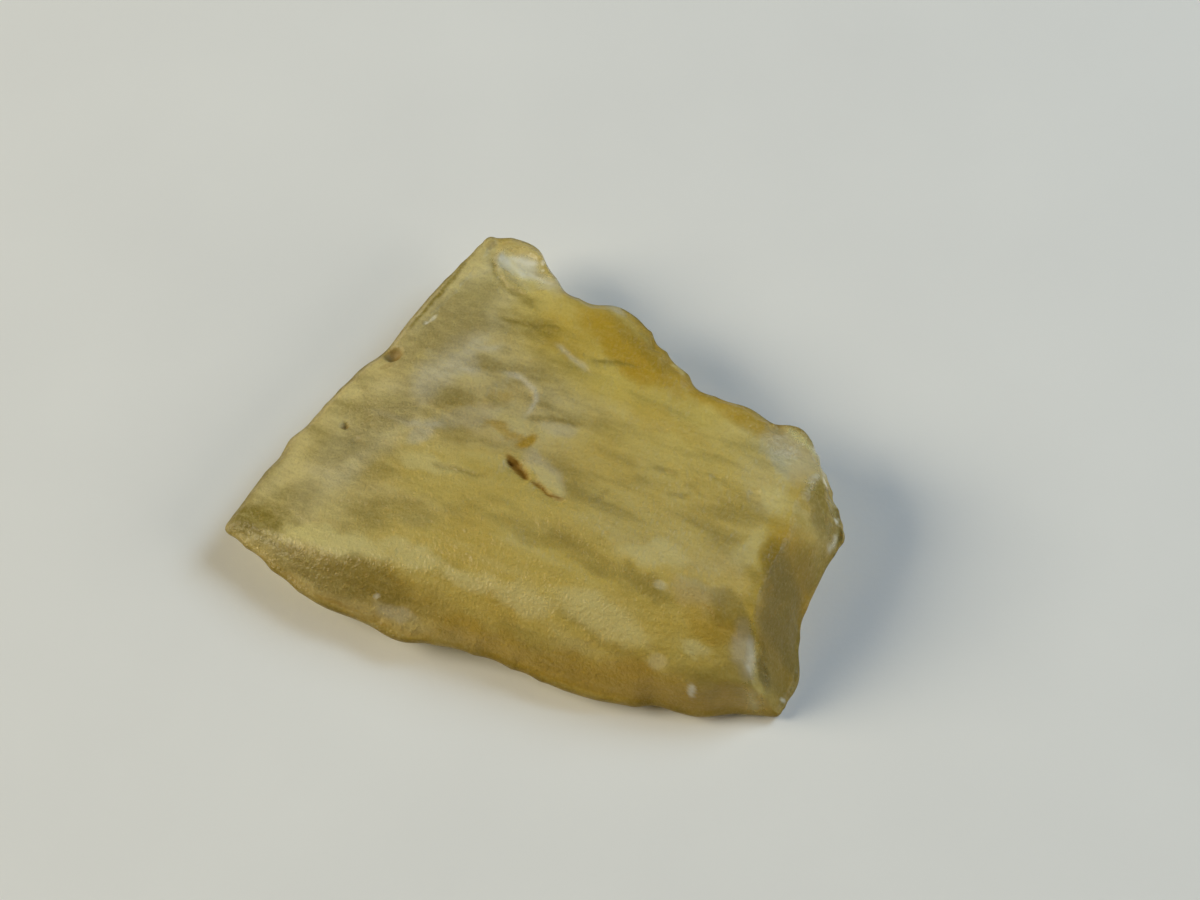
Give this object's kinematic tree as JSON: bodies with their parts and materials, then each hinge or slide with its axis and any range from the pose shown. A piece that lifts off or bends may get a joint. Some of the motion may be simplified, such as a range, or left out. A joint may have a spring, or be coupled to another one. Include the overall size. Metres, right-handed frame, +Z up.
{
  "type": "raw libyan desert glass",
  "caption": "Raw wedge-shaped flake of pale yellow natural glass, wind-worn and pitted, with a scalloped edge, lying on a flat underside.",
  "frame": {"origin": "centre of the flake's box in plan, on the plane that its flat underside rests on", "axes": "+X along the flake's length, from its thin tip to its thick end; +Y across it, towards the apex of the thin edge; +Z up"},
  "size_m": [0.0488, 0.0408, 0.0086],
  "materials": {
    "desert_glass": "frosted by blown sand, translucent pale yellow to amber, with milky patches and a few rust-brown pits"
  },
  "bodies": {
    "root": {"desert_glass": "desert_glass"}
  },
  "joints": []
}
